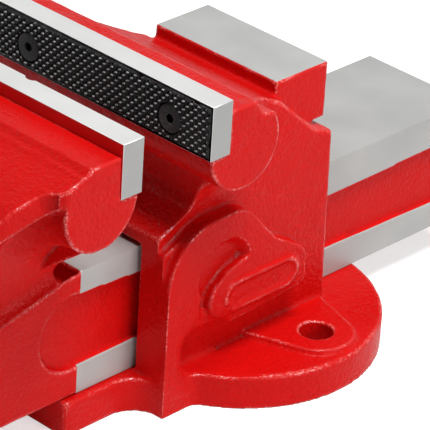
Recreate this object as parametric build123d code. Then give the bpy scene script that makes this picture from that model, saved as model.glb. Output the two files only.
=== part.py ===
from build123d import *
import os
from math import acos, asin, atan2, cos, hypot, radians, sin

# Engineers vise with a fixed base, in millimetres.
# X runs along the jaws, +Y runs back from the handle, Z is up.
# The origin is on the bench, midway between the two base bolt holes.

# Jaw plates and the room between them
jaw_width = 150.0
plate_height = 28.3
plate_thickness = 14.2
jaw_top = 175.0
fixed_face_y = -90.0
rest_gap = 41.7
plate_screw_spacing = 96.0
plate_screw_drop = 16.0
prism_r = 4.1
prism_depth = 3.2

# Plate screws, countersunk with a hexagon socket
plate_screw_r = 4.0
plate_screw_length = 25.5
plate_head_r = 7.2
plate_head_cone = 4.4
plate_head_rim = 0.4
plate_head_sink = 0.5
plate_head_play = 0.4
plate_screw_tip = 1.0
plate_socket_af = 5.0
plate_socket_depth = 3.2
screw_play = 0.05
tap_extra = 3.0

# Jaw heads, the rounded bars that carry the plates
head_end_inset = 0.5
head_round_r = 22.6
head_round_back = 25.5
head_ledge_drop = 6.5
head_ledge_length = 17.8
head_step_length = 4.0
fixed_step_drop = 14.0
fixed_round_start = 33.0
moving_step_drop = 9.3
moving_round_start = 57.0
fixed_flare_r = 20.0
moving_flare_r = 42.0

# Base
base_thickness = 18.5
lobe_r = 75.2
lobe_spread = 19.5
lobe_y = -5.5
tongue_half_width = 38.5
tongue_front_y = -139.5
tongue_corner_r = 3.0
tongue_sweep_r = 16.0
lobe_sweep_r = 9.0
base_edge_r = 1.6
bolt_spacing = 142.0
bolt_hole_r = 8.5
bolt_pad_r = 19.5
bolt_pad_height = 3.0
bolt_pad_front_y = -29.0
bolt_pad_back_y = 27.0

# Body casting above the base
body_half_width = 48.0
body_front_lead = 2.0
body_back_y = 30.6
body_back_lean = 3.0
body_corner_r = 2.5
cheek_half_width = 52.0
cheek_step = 7.5
cheek_back_y = -56.0
cheek_low_z = 60.0
boss_half_width = 57.0
cheek_edge_r = 2.0
cheek_round_r = 8.0
apron_edge_z = 95.0
apron_edge_r = 2.5
apron_root_r = 10.0
apron_back_y = -73.0
apron_back_z = 104.0
neck_foot_y = -68.7
neck_foot_z = 108.0
neck_top_y = -71.0
neck_fillet_r = 8.0
deck_front_y = -50.0
deck_front_z = 160.5
deck_back_y = -11.0
deck_back_z = 142.6
deck_edge_r = 3.0
deck_root_r = 20.0
shoulder_dip_y = 16.0
shoulder_dip_z = 118.4
shoulder_dip_r = 14.0
shoulder_back_z = 114.8
shoulder_edge_r = 2.5
rib_back_y = -80.0
rib_inner_z = 46.0
rib_inner_r = 9.0
rib_foot_r = 10.0
anvil_half_width = 41.4
anvil_front_y = -9.5
anvil_back_y = 27.5
anvil_top = 149.8
anvil_root = 30.0
anvil_edge_r = 1.5

# Relief on the body sides
boss_top_z = 99.4
boss_top_r = 30.0
boss_crest_y = -41.0
boss_crest_r = 18.0
boss_saddle_y = -19.0
boss_saddle_z = 74.8
boss_saddle_r = 14.0
boss_tail_z = 61.0
boss_tail_y = 4.8
boss_tail_r = 12.0
boss_tail_low_z = 41.0
boss_tail_low_r = 6.0
boss_low_y = -55.0
boss_low_z = 37.5
boss_low_r = 20.0
oval_y = -28.0
oval_z = 52.6
oval_length = 52.0
oval_height = 17.0
oval_rise = 1.6
oval_rim = 2.2
oval_floor = 0.6
dish_depth = 5.0
dish_slope = 4.0
dish_high_y = -54.0
dish_high_z = 68.0
dish_high_r = 18.0
dish_low_y = -52.0
dish_low_z = 54.0
dish_low_r = 18.5
oval_pad_y = -51.0
oval_pad_z = 52.8
oval_pad_r = 12.0
oval_pad_start_y = -60.5
oval_pad_start_z = 60.2
oval_pad_bend_y = -51.3
oval_pad_bend_z = 67.6
oval_pad_bend_r = 12.0
oval_pad_end_y = -36.0
oval_pad_end_z = 72.0

# Slide of the moving jaw and the passage it runs in
slide_half_width = 34.3
slide_height = 67.0
slide_lift = 0.5
slide_back_y = 148.6
slide_cut = 0.6
slide_play = 0.4
passage_relief = 1.8
passage_relief_depth = 6.0
channel_half_width = 21.0
channel_height = 47.5
recess_depth = 3.0
recess_front_y = -133.5
recess_round_r = 19.9
recess_front_z = 54.3
recess_waist_y = 10.0
recess_waist_r = 12.0
recess_waist_top_z = 65.5
recess_waist_low_z = 36.5
recess_back_top_z = 68.0
recess_back_low_z = 33.0

# Moving jaw casting
arm_half_width = 34.8
arm_start_lag = 2.8
arm_waist_x = 29.5
arm_waist_rise = 9.0
arm_flare_r = 75.0
arm_flare_z = 80.0
arm_flare_y = -155.0
arm_flare_tilt = 13.5
neck_wall_low_y = -134.5
neck_wall_low_r = 3.0
neck_wall_mid_y = -142.0
neck_wall_mid_z = 106.0
neck_wall_mid_r = 25.0
neck_wall_top_y = -149.0
neck_wall_top_z = 128.0
web_foot_x = 24.0
web_foot_z = 88.0
web_end_z = 127.0
web_back_y = -152.0
nose_start_back = 38.0
nose_start_drop = 10.0
nose_mid_y = -205.0
nose_mid_z = 153.0
nose_start_r = 4.0
nose_low_y = -243.0
nose_low_z = 108.0
nose_low_r = 30.0
nose_round_r = 34.0
nose_shoulder_x = 66.0
nose_shoulder_y = -182.0
nose_shoulder_r = 5.0
nose_neck_r = 8.0
nose_middle_x = 61.0
nose_middle_r = 30.0
nose_tip_x = 30.0
nose_tip_r = 6.0
nose_lip = 6.0
nose_lip_r = 16.0
nose_foot_r = 14.0
pocket_x = 30.0
pocket_r = 8.0
pocket_z = 86.0
pocket_low_z = 75.0
pocket_lip = 1.4
front_wall_y = -232.0
boss_front_y = -264.0
boss_r = 29.0
boss_length = 30.0

# Screw, its keeping parts and the nut
screw_axis_z = 44.0
thread_r = 12.5
thread_play = 0.1
thread_back_y = 125.0
thread_end_chamfer = 2.0
journal_r = 13.0
journal_play = 0.08
journal_past_pin = 4.0
thrust_washer_r = 22.0
thrust_washer_thickness = 3.0
thrust_gap = 0.3
screw_head_r = 22.5
screw_head_length = 44.0
screw_collar_r = 20.0
screw_collar_length = 8.0
screw_nose_r = 9.0
spring_wire_r = 1.6
spring_r = 16.4
spring_pitch = 6.2
spring_turns = 3.5
spring_washer_r = 18.5
spring_washer_thickness = 3.0
split_pin_r = 2.4
split_pin_length = 34.0
split_pin_play = 0.15
split_pin_slot = 0.5
split_pin_eye_r = 2.8
split_pin_wire_r = 1.4
nut_half_width = 19.5
nut_front_y = -62.0
nut_length = 50.0
nut_top_z = 64.0
nut_corner_r = 6.0
nut_bolt_r = 5.0
nut_bolt_spacing = 26.0
nut_bolt_top_gap = 3.0
nut_bolt_head_af = 17.0
nut_bolt_head_height = 6.4
nut_bolt_sink_r = 12.0
nut_bolt_sink_depth = 9.6
nut_washer_r = 9.2
nut_washer_thickness = 2.6
seat_play = 0.3

# Tommy bar
bar_r = 7.0
bar_length = 250.0
bar_hole_r = 7.4
bar_tail_r = 4.5
bar_tail_length = 10.0
knob_r = 12.0
knob_flat = 9.5
knob_bore_play = 0.05

# Places worked out from the sizes above
moving_face_y = fixed_face_y - rest_gap
head_half = jaw_width / 2 - head_end_inset
shelf_z = jaw_top - plate_height
screw_z = jaw_top - plate_screw_drop
body_front_y = fixed_face_y - body_front_lead
slide_z = base_thickness + slide_lift
slide_top = slide_z + slide_height
arm_start_y = moving_face_y + arm_start_lag
bar_y = boss_front_y - thrust_washer_thickness - screw_collar_length - screw_head_length / 2
far = 400.0
over = 1.0
hair = 0.01


def side_prism(face, low_x, high_x):
    """Extrude a face drawn in Y and Z from one X to another."""
    return Pos(low_x, 0, 0) * extrude(Plane.YZ * face, high_x - low_x, dir=(1, 0, 0))


def rounded(points, radii):
    """Face whose corners each have their own radius."""
    return make_face(FilletPolyline(*points, radius=radii, close=True))


def y_cylinder(radius, front, back, x=0.0, z=0.0):
    """Cylinder along Y between two Y places."""
    middle = (front + back) / 2
    return Pos(x, middle, z) * Rot(90, 0, 0) * Cylinder(radius, back - front)


def z_cylinder(radius, low, high, x=0.0, y=0.0):
    """Cylinder along Z between two heights."""
    return Pos(x, y, (low + high) / 2) * Cylinder(radius, high - low)


def block(low, high):
    """Box between two corners."""
    size = [b - a for a, b in zip(low, high)]
    middle = [(a + b) / 2 for a, b in zip(low, high)]
    return Pos(*middle) * Box(*size)


def both_sides(part):
    """The part and its mirror image across the middle plane."""
    return part + mirror(part, about=Plane.YZ)


def jaw_head(face_y, back, step_drop, round_start):
    """Bar behind one jaw plate; back is +1 for the fixed jaw and -1 for the moving one."""
    def at(depth, z):
        return (face_y + back * depth, z)

    turn = radians(round_start)
    arc_start = at(
        head_round_back + head_round_r * cos(turn),
        shelf_z + head_round_r * sin(turn),
    )
    arc_middle = at(head_round_back, shelf_z - head_round_r)
    arc_end = at(head_round_back - head_round_r, shelf_z)
    ledge_z = jaw_top - head_ledge_drop
    ledge_back = plate_thickness + head_ledge_length
    step_back = ledge_back + head_step_length
    outline = Polyline(
        arc_end,
        at(plate_thickness, shelf_z),
        at(plate_thickness, ledge_z),
        at(ledge_back, ledge_z),
        at(step_back, jaw_top - step_drop),
        arc_start,
    )
    outline += ThreePointArc(arc_start, arc_middle, arc_end)
    return side_prism(make_face(outline), -head_half, head_half)


def head_flare(face_y, back, wall_x, flare_r):
    """Hollow-cheeked blend between the end of a jaw head and the wall below it."""
    centre_y = face_y + back * head_round_back
    start_x = wall_x + flare_r
    outer = head_round_r + flare_r
    middle = flare_r * (1 - sin(radians(45)))
    profile = Polyline(
        (0, 0),
        (start_x, 0),
        (start_x, head_round_r),
    )
    profile += ThreePointArc(
        (start_x, head_round_r),
        (wall_x + middle, head_round_r + middle),
        (wall_x, outer),
    )
    profile += Polyline((wall_x, outer), (0, outer), (0, 0))
    flare = revolve(make_face(profile), Axis.X)
    return Pos(0, centre_y, shelf_z) * flare


def plate_screw_cuts(face_y, back):
    """Tapped holes in a jaw casting for the two plate screws."""
    cuts = Part()
    start = face_y + back * plate_thickness
    end = face_y + back * (plate_screw_length + tap_extra)
    for x in (-plate_screw_spacing / 2, plate_screw_spacing / 2):
        cuts += y_cylinder(plate_screw_r + screw_play, min(start, end), max(start, end), x, screw_z)
    return cuts


def tangent_point(x, y, centre_x, radius):
    """Where the outer line from a point touches a circle centred on the X axis."""
    dx = x - centre_x
    distance = hypot(dx, y)
    turn = acos(radius / distance)
    side = 1 if y < 0 else -1
    angle = atan2(y, dx) + side * turn
    return (centre_x + radius * cos(angle), radius * sin(angle))


def base_plate():
    lobes = Pos(0, lobe_y) * Rectangle(2 * lobe_spread, 2 * lobe_r)
    for x in (-lobe_spread, lobe_spread):
        lobes += Pos(x, lobe_y) * Circle(lobe_r)
    tongue_length = body_front_y - tongue_front_y + lobe_r / 2
    tongue = Pos(0, tongue_front_y + tongue_length / 2) * Rectangle(2 * tongue_half_width, tongue_length)
    block_length = lobe_r / 2
    front = Pos(0, body_front_y + block_length / 2) * Rectangle(2 * boss_half_width, block_length)
    plan = lobes + tongue + front
    tongue_corners = plan.vertices().filter_by(
        lambda v: abs(v.Y - tongue_front_y) < hair
    )
    plan = fillet(tongue_corners, tongue_corner_r)
    sweep_corners = plan.vertices().filter_by(
        lambda v: abs(v.Y - body_front_y) < hair and abs(abs(v.X) - tongue_half_width) < hair
    )
    plan = fillet(sweep_corners, tongue_sweep_r)
    lobe_corners = plan.vertices().filter_by(
        lambda v: abs(abs(v.X) - boss_half_width) < hair and v.Y > body_front_y + over
    )
    plan = fillet(lobe_corners, lobe_sweep_r)
    plate = extrude(plan, base_thickness)
    rim = plate.edges().filter_by(lambda e: abs(e.center().Z - base_thickness) < hair)
    plate = fillet(rim, base_edge_r)
    pad_x = bolt_spacing / 2
    pad_web = Polyline(
        (0, bolt_pad_front_y),
        (body_half_width, bolt_pad_front_y),
        tangent_point(body_half_width, bolt_pad_front_y, pad_x, bolt_pad_r),
        tangent_point(body_half_width, bolt_pad_back_y, pad_x, bolt_pad_r),
        (body_half_width, bolt_pad_back_y),
        (0, bolt_pad_back_y),
        (0, bolt_pad_front_y),
    )
    pad = make_face(pad_web) + Pos(pad_x, 0) * Circle(bolt_pad_r)
    return plate + both_sides(extrude(pad, base_thickness + bolt_pad_height, dir=(0, 0, 1)))


def body_outline():
    """Side outline of the body, from the bench to the deck behind the fixed jaw."""
    head_y = fixed_face_y + head_round_back
    points = [
        (body_front_y, 0),
        (body_front_y, apron_edge_z),
        (apron_back_y, apron_back_z),
        (neck_foot_y, neck_foot_z),
        (neck_top_y, shelf_z - head_round_r / 2),
        (head_y, deck_front_z),
        (deck_front_y, deck_front_z),
        (deck_back_y, deck_back_z),
        (shoulder_dip_y, shoulder_dip_z),
        (body_back_y - body_back_lean, shoulder_back_z),
        (body_back_y, base_thickness),
        (body_back_y, 0),
    ]
    radii = [0, apron_edge_r, apron_root_r, neck_fillet_r, 0, 0]
    radii += [deck_edge_r, deck_root_r, shoulder_dip_r, shoulder_edge_r, 0, 0]
    return rounded(points, radii)


def dish():
    """Crescent hollow in the raised plate: two dished circles, less the pad that carries the oval."""
    middle_x = boss_half_width - dish_depth / 2
    cut = Part()
    for y, z, mouth_r in ((dish_high_y, dish_high_z, dish_high_r), (dish_low_y, dish_low_z, dish_low_r)):
        cut += Pos(middle_x, y, z) * Rot(0, 90, 0) * Cone(mouth_r - dish_slope, mouth_r, dish_depth)
    points = [
        (oval_pad_start_y, oval_pad_start_z),
        (oval_pad_bend_y, oval_pad_bend_z),
        (oval_pad_end_y, oval_pad_end_z),
        (boss_tail_y, oval_pad_end_z),
        (boss_tail_y, 0),
        (oval_pad_y, 0),
        (oval_pad_y, oval_pad_z),
    ]
    pad = rounded(points, [0, oval_pad_bend_r, 0, 0, 0, 0, 0]) + Pos(oval_pad_y, oval_pad_z) * Circle(oval_pad_r)
    return cut - side_prism(pad, 0, far)


def side_boss():
    """Raised plate on one body side, with a rib down its front, an oval and a dish."""
    points = [
        (body_front_y, 0),
        (body_front_y, boss_top_z),
        (boss_crest_y, boss_top_z),
        (boss_saddle_y, boss_saddle_z),
        (boss_tail_y, boss_tail_z),
        (boss_tail_y, boss_tail_low_z),
        (boss_low_y, boss_low_z),
        (rib_back_y, rib_inner_z),
        (rib_back_y, base_thickness),
        (rib_back_y + 2 * rib_foot_r, base_thickness),
        (rib_back_y + 2 * rib_foot_r, 0),
    ]
    radii = [0, boss_top_r, boss_crest_r, boss_saddle_r, boss_tail_r, boss_tail_low_r]
    radii += [boss_low_r, rib_inner_r, rib_foot_r, 0, 0]
    plate = side_prism(rounded(points, radii), 0, boss_half_width)
    plate -= dish()
    oval = Pos(oval_y, oval_z) * SlotOverall(oval_length, oval_height)
    inside = Pos(oval_y, oval_z) * SlotOverall(oval_length - 2 * oval_rim, oval_height - 2 * oval_rim)
    plate += side_prism(oval, body_half_width, boss_half_width + oval_rise)
    plate -= side_prism(inside, boss_half_width + oval_floor, far)
    return plate


def make_body_casting():
    outline = body_outline()
    body = side_prism(outline, -body_half_width, body_half_width)
    back_corners = body.edges().filter_by(
        lambda e: abs(abs(e.center().X) - body_half_width) < hair and e.center().Y > anvil_back_y
    )
    body = fillet(back_corners, body_corner_r)
    flares = both_sides(head_flare(fixed_face_y, 1, body_half_width, fixed_flare_r))
    body += flares & side_prism(outline, -head_half, head_half)
    cheek_points = [
        (body_front_y, 0),
        (body_front_y, apron_edge_z - cheek_step),
        (apron_back_y, apron_back_z - cheek_step),
        (cheek_back_y, apron_back_z - cheek_step),
        (cheek_back_y, cheek_low_z),
        (rib_back_y, cheek_low_z),
        (rib_back_y, 0),
    ]
    cheek_radii = [0, cheek_edge_r, cheek_round_r, cheek_round_r, 0, 0, 0]
    body += side_prism(rounded(cheek_points, cheek_radii), -cheek_half_width, cheek_half_width)
    anvil_points = [
        (anvil_front_y, anvil_top - anvil_root),
        (anvil_front_y, anvil_top),
        (anvil_back_y, anvil_top),
        (anvil_back_y, anvil_top - anvil_root),
    ]
    anvil = side_prism(make_face(Polyline(*anvil_points, close=True)), -anvil_half_width, anvil_half_width)
    anvil_corners = anvil.edges().filter_by(Axis.Z).group_by(Axis.Y)[-1]
    body += fillet(anvil_corners, anvil_edge_r)
    body += base_plate()
    body += both_sides(side_boss())
    body += jaw_head(fixed_face_y, 1, fixed_step_drop, fixed_round_start)
    passage_half = slide_half_width + slide_play
    passage_top = slide_top + slide_play
    body -= block((-passage_half, -far, base_thickness), (passage_half, far, passage_top))
    relief_half = passage_half + passage_relief
    body -= block(
        (-relief_half, -far, base_thickness),
        (relief_half, body_front_y + passage_relief_depth, passage_top + passage_relief),
    )
    body -= plate_screw_cuts(fixed_face_y, 1)
    for x in (-bolt_spacing / 2, bolt_spacing / 2):
        body -= z_cylinder(bolt_hole_r, -over, base_thickness + bolt_pad_height + over, x)
    for y in nut_bolt_places():
        body -= z_cylinder(nut_bolt_r + seat_play, -over, base_thickness + over, 0, y)
        body -= z_cylinder(nut_bolt_sink_r, -over, nut_bolt_sink_depth, 0, y)
    return body


def moving_jaw_side():
    """Side outline of the moving jaw: arm, neck wall, nose and screw boss."""
    nose_start_y = moving_face_y - nose_start_back
    points = [
        (arm_start_y, slide_z),
        (arm_start_y, slide_top - slide_cut),
        (neck_wall_low_y, slide_top - slide_cut),
        (neck_wall_mid_y, neck_wall_mid_z),
        (neck_wall_top_y, neck_wall_top_z),
        (neck_wall_top_y, jaw_top - nose_start_drop),
        (nose_start_y, jaw_top - nose_start_drop),
        (nose_mid_y, nose_mid_z),
        (nose_low_y, nose_low_z),
        (boss_front_y + nose_lip, screw_axis_z + boss_r),
        (boss_front_y + nose_lip, slide_z),
    ]
    radii = [0, 0, neck_wall_low_r, neck_wall_mid_r, 0, 0]
    radii += [nose_start_r, nose_round_r, nose_low_r, nose_lip_r, nose_foot_r]
    return side_prism(rounded(points, radii), -far, far)


def moving_jaw_front():
    """Front outline of the moving jaw: straight arm, hollow waist above its ridge, then a wide flare."""
    shoulder = arm_half_width - arm_waist_x
    shoulder_r = (shoulder ** 2 + arm_waist_rise ** 2) / (2 * shoulder)
    shoulder_turn = asin(arm_waist_rise / shoulder_r) / 2
    flare_turn = acos(1 - (head_half - arm_waist_x) / arm_flare_r)
    flare_end = arm_waist_rise + arm_flare_r * sin(flare_turn)
    shoulder_mid = (
        arm_waist_x + shoulder_r * (1 - cos(shoulder_turn)),
        arm_waist_rise - shoulder_r * sin(shoulder_turn),
    )
    flare_mid = (
        arm_waist_x + arm_flare_r * (1 - cos(flare_turn / 2)),
        arm_waist_rise + arm_flare_r * sin(flare_turn / 2),
    )
    ridge = (arm_half_width, 0)
    waist = (arm_waist_x, arm_waist_rise)
    half = Polyline((head_half, flare_end), (head_half, far), (0, far), (0, -far), (arm_half_width, -far), ridge)
    half += ThreePointArc(ridge, shoulder_mid, waist)
    half += ThreePointArc(waist, flare_mid, (head_half, flare_end))
    tilt = radians(arm_flare_tilt)
    flare_plane = Plane(
        origin=(0, arm_flare_y, arm_flare_z),
        x_dir=(1, 0, 0),
        z_dir=(0, -cos(tilt), -sin(tilt)),
    )
    return both_sides(extrude(flare_plane * make_face(half), far, both=True))


def moving_jaw_plan():
    """Outline of the moving jaw seen from above."""
    points = [
        (arm_half_width, arm_start_y),
        (head_half, neck_wall_low_y),
        (head_half, nose_shoulder_y),
        (nose_shoulder_x, nose_shoulder_y),
        (nose_middle_x, nose_mid_y),
        (nose_tip_x, boss_front_y),
        (0, boss_front_y),
        (0, arm_start_y),
    ]
    radii = [0, 0, nose_shoulder_r, nose_neck_r, nose_middle_r, nose_tip_r, 0, 0]
    return both_sides(extrude(rounded(points, radii), far, dir=(0, 0, 1)))


def neck_web():
    """Wall across the neck that widens up to the head, behind the moving plate."""
    outline = Polyline(
        (0, pocket_low_z),
        (web_foot_x, web_foot_z),
        (head_half, web_end_z),
        (head_half, shelf_z),
        (0, shelf_z),
        (0, pocket_low_z),
    )
    wall = extrude(Plane.XZ * make_face(outline), arm_start_y - web_back_y, dir=(0, 1, 0))
    return both_sides(Pos(0, web_back_y, 0) * wall)


def slide_recess():
    """Long recess in both slide sides, round at its front end."""
    points = [
        (recess_front_y, recess_front_z + recess_round_r),
        (recess_waist_y, recess_waist_top_z),
        (slide_back_y + over, recess_back_top_z),
        (slide_back_y + over, recess_back_low_z),
        (recess_waist_y, recess_waist_low_z),
        (recess_front_y, recess_front_z - recess_round_r),
        (recess_front_y - recess_round_r, recess_front_z - recess_round_r),
        (recess_front_y - recess_round_r, recess_front_z + recess_round_r),
    ]
    round_end = recess_round_r - hair
    outline = rounded(points, [0, recess_waist_r, 0, 0, recess_waist_r, 0, round_end, round_end])
    return both_sides(side_prism(outline, slide_half_width - recess_depth, far))


def run_out():
    """Groove in front of the neck where the ground slide top ends, with a round pocket at each end."""
    inner_x = arm_half_width - pocket_lip
    pocket = Pos(pocket_x, neck_wall_low_y, pocket_z) * Sphere(pocket_r)
    pocket += z_cylinder(pocket_r, pocket_low_z, pocket_z, pocket_x, neck_wall_low_y)
    pocket &= block((0, -far, 0), (inner_x, arm_start_y, far))
    groove = block((-inner_x, neck_wall_low_y, pocket_low_z), (inner_x, arm_start_y, pocket_z + over))
    return both_sides(pocket) + groove


def make_moving_jaw_casting():
    side = moving_jaw_side()
    plan = moving_jaw_plan()
    jaw = side & moving_jaw_front() & plan
    flares = both_sides(head_flare(moving_face_y, -1, arm_waist_x, moving_flare_r))
    jaw += flares & side & plan
    jaw += neck_web() & side
    jaw += y_cylinder(boss_r, boss_front_y, boss_front_y + boss_length, z=screw_axis_z)
    jaw += jaw_head(moving_face_y, -1, moving_step_drop, moving_round_start)
    jaw += block((-slide_half_width, arm_start_y, slide_z), (slide_half_width, slide_back_y, slide_top))
    jaw -= block(
        (-channel_half_width, front_wall_y, -over),
        (channel_half_width, far, slide_z + channel_height),
    )
    jaw -= y_cylinder(journal_r + journal_play, -far, 0, z=screw_axis_z)
    jaw -= slide_recess()
    jaw -= run_out()
    jaw -= plate_screw_cuts(moving_face_y, -1)
    return jaw


def make_jaw_plate(face_y, back):
    behind = face_y + back * plate_thickness
    plate = block(
        (-jaw_width / 2, min(face_y, behind), shelf_z),
        (jaw_width / 2, max(face_y, behind), jaw_top),
    )
    for x in (-plate_screw_spacing / 2, plate_screw_spacing / 2):
        shank = y_cylinder(
            plate_screw_r + seat_play, min(face_y, behind), max(face_y, behind), x, screw_z
        )
        plate -= shank
        plate -= countersink(face_y, back, x, plate_head_play)
    return plate


def make_moving_jaw_plate():
    """Plate with a half-round upright groove in the middle of its face for round work."""
    axis_y = moving_face_y + prism_r - prism_depth
    return make_jaw_plate(moving_face_y, -1) - z_cylinder(prism_r, -far, far, 0, axis_y)


def countersink(face_y, back, x, play):
    """Space of a countersunk head, larger all round by play."""
    top = plate_head_sink
    low = top + plate_head_cone
    profile = Polyline(
        (0, -over),
        (plate_head_r + play, -over),
        (plate_head_r + play, top),
        (plate_screw_r + play, low),
        (0, low),
        (0, -over),
    )
    solid = revolve(make_face(profile), Axis.Y)
    if back < 0:
        solid = mirror(solid, about=Plane.XZ)
    return Pos(x, face_y, screw_z) * solid


def make_plate_screw(face_y, back, x):
    top = plate_head_sink
    low = top + plate_head_cone
    profile = Polyline(
        (0, top),
        (plate_head_r, top),
        (plate_head_r, top + plate_head_rim),
        (plate_screw_r, low),
        (plate_screw_r, plate_screw_length - plate_screw_tip),
        (plate_screw_r - plate_screw_tip, plate_screw_length),
        (0, plate_screw_length),
        (0, top),
    )
    screw = revolve(make_face(profile), Axis.Y)
    socket = RegularPolygon(plate_socket_af / 2, 6, major_radius=False)
    cut = extrude(Plane.XZ * socket, -(top + plate_socket_depth))
    screw -= cut
    if back < 0:
        screw = mirror(screw, about=Plane.XZ)
    return Pos(x, face_y, screw_z) * screw


def nut_bolt_places():
    middle = nut_front_y + nut_length / 2
    return [middle - nut_bolt_spacing / 2, middle + nut_bolt_spacing / 2]


def nut_bolt_top():
    return screw_axis_z - thread_r - nut_bolt_top_gap


def make_main_nut():
    nut = block(
        (-nut_half_width, nut_front_y, base_thickness),
        (nut_half_width, nut_front_y + nut_length, nut_top_z),
    )
    top_edges = nut.edges().filter_by(Axis.Y).group_by(Axis.Z)[-1]
    nut = fillet(top_edges, nut_corner_r)
    nut -= y_cylinder(thread_r + thread_play, -far, far, z=screw_axis_z)
    for y in nut_bolt_places():
        nut -= z_cylinder(nut_bolt_r + screw_play, 0, nut_bolt_top() + over, 0, y)
    return nut


def make_nut_bolt(y):
    washer_low = nut_bolt_sink_depth - nut_washer_thickness
    head_low = washer_low - nut_bolt_head_height
    hexagon = RegularPolygon(nut_bolt_head_af / 2, 6, major_radius=False)
    head = Pos(0, y, head_low) * extrude(hexagon, nut_bolt_head_height)
    return head + z_cylinder(nut_bolt_r, head_low, nut_bolt_top(), 0, y)


def make_nut_washer(y):
    low = nut_bolt_sink_depth - nut_washer_thickness
    washer = z_cylinder(nut_washer_r, low, nut_bolt_sink_depth, 0, y)
    return washer - z_cylinder(nut_bolt_r + seat_play, 0, base_thickness, 0, y)


def make_thrust_washer():
    back = boss_front_y
    front = back - thrust_washer_thickness
    washer = y_cylinder(thrust_washer_r, front, back, z=screw_axis_z)
    return washer - y_cylinder(journal_r + seat_play, -far, far, z=screw_axis_z)


def spring_length():
    return spring_pitch * spring_turns + 2 * spring_wire_r


def make_thrust_spring():
    start = front_wall_y + spring_wire_r
    helix = Helix(spring_pitch, spring_pitch * spring_turns, spring_r)
    wire_plane = Plane(origin=helix @ 0, z_dir=helix % 0)
    coil = sweep(wire_plane * Circle(spring_wire_r), path=helix)
    return Pos(0, start, screw_axis_z) * Rot(-90, 0, 0) * coil


def spring_washer_front():
    return front_wall_y + spring_length() + seat_play


def make_spring_washer():
    front = spring_washer_front()
    back = front + spring_washer_thickness
    washer = y_cylinder(spring_washer_r, front, back, z=screw_axis_z)
    return washer - y_cylinder(journal_r + seat_play, -far, far, z=screw_axis_z)


def split_pin_y():
    return spring_washer_front() + spring_washer_thickness + split_pin_r + seat_play


def make_split_pin():
    low = screw_axis_z - split_pin_length / 2
    high = screw_axis_z + split_pin_length / 2
    y = split_pin_y()
    pin = z_cylinder(split_pin_r, low, high, 0, y)
    half_slot = split_pin_slot / 2
    pin -= block((-half_slot, y - split_pin_r, 0), (half_slot, y + split_pin_r, high - split_pin_r))
    eye = Pos(0, y, high) * Rot(90, 0, 0) * Torus(split_pin_eye_r, split_pin_wire_r)
    return pin + eye


def make_main_screw():
    y = split_pin_y()
    collar_back = boss_front_y - thrust_washer_thickness - thrust_gap
    head_back = collar_back - screw_collar_length
    head_front = bar_y - screw_head_length / 2
    journal_back = y + split_pin_r + journal_past_pin
    screw = y_cylinder(journal_r, collar_back, journal_back, z=screw_axis_z)
    tail = y_cylinder(thread_r, journal_back, thread_back_y, z=screw_axis_z)
    screw += chamfer(tail.edges().group_by(Axis.Y)[-1], thread_end_chamfer)
    screw += y_cylinder(screw_collar_r, head_back, collar_back, z=screw_axis_z)
    head = y_cylinder(screw_head_r, head_front, head_back, z=screw_axis_z)
    screw += fillet(head.edges().group_by(Axis.Y)[0], screw_nose_r)
    screw -= Pos(0, bar_y, screw_axis_z) * Rot(0, 90, 0) * Cylinder(bar_hole_r, 4 * screw_head_r)
    screw -= z_cylinder(split_pin_r + split_pin_play, -far, far, 0, y)
    return screw


def make_tommy_bar():
    shoulder = bar_length / 2 - knob_r - knob_flat
    bar = Cylinder(bar_r, 2 * shoulder) + Cylinder(bar_tail_r, 2 * (shoulder + bar_tail_length))
    return Pos(0, bar_y, screw_axis_z) * Rot(0, 90, 0) * bar


def make_bar_knob(side):
    centre = bar_length / 2 - knob_r
    inner = centre - knob_flat
    knob = Pos(centre, 0, 0) * Sphere(knob_r)
    knob &= block((inner, -far, -far), (far, far, far))
    bore = Cylinder(bar_tail_r + knob_bore_play, 2 * (bar_tail_length + knob_bore_play))
    knob -= Pos(inner, 0, 0) * Rot(0, 90, 0) * bore
    if side < 0:
        knob = mirror(knob, about=Plane.YZ)
    return Pos(0, bar_y, screw_axis_z) * knob


def make_parts():
    nodes = {
        "body_casting": make_body_casting(),
        "fixed_jaw_plate": make_jaw_plate(fixed_face_y, 1),
        "moving_jaw_casting": make_moving_jaw_casting(),
        "moving_jaw_plate": make_moving_jaw_plate(),
        "main_nut": make_main_nut(),
        "thrust_washer": make_thrust_washer(),
        "thrust_spring": make_thrust_spring(),
        "spring_washer": make_spring_washer(),
        "split_pin": make_split_pin(),
        "main_screw": make_main_screw(),
        "tommy_bar": make_tommy_bar(),
        "bar_knob_left": make_bar_knob(-1),
        "bar_knob_right": make_bar_knob(1),
    }
    for side, x in (("left", -plate_screw_spacing / 2), ("right", plate_screw_spacing / 2)):
        nodes[f"fixed_plate_screw_{side}"] = make_plate_screw(fixed_face_y, 1, x)
        nodes[f"moving_plate_screw_{side}"] = make_plate_screw(moving_face_y, -1, x)
    for place, y in zip(("front", "back"), nut_bolt_places()):
        nodes[f"nut_bolt_{place}"] = make_nut_bolt(y)
        nodes[f"nut_washer_{place}"] = make_nut_washer(y)
    return nodes


os.makedirs("parts", exist_ok=True)
for name, part in make_parts().items():
    export_step(part, f"parts/{name}.step")
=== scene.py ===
"""Engineers vise: cast and painted bodies, ground slides, serrated jaw plates, screw and handle."""

import bmesh
import bpy
import math
import numpy as np
from mathutils import Matrix, Vector, noise


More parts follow.
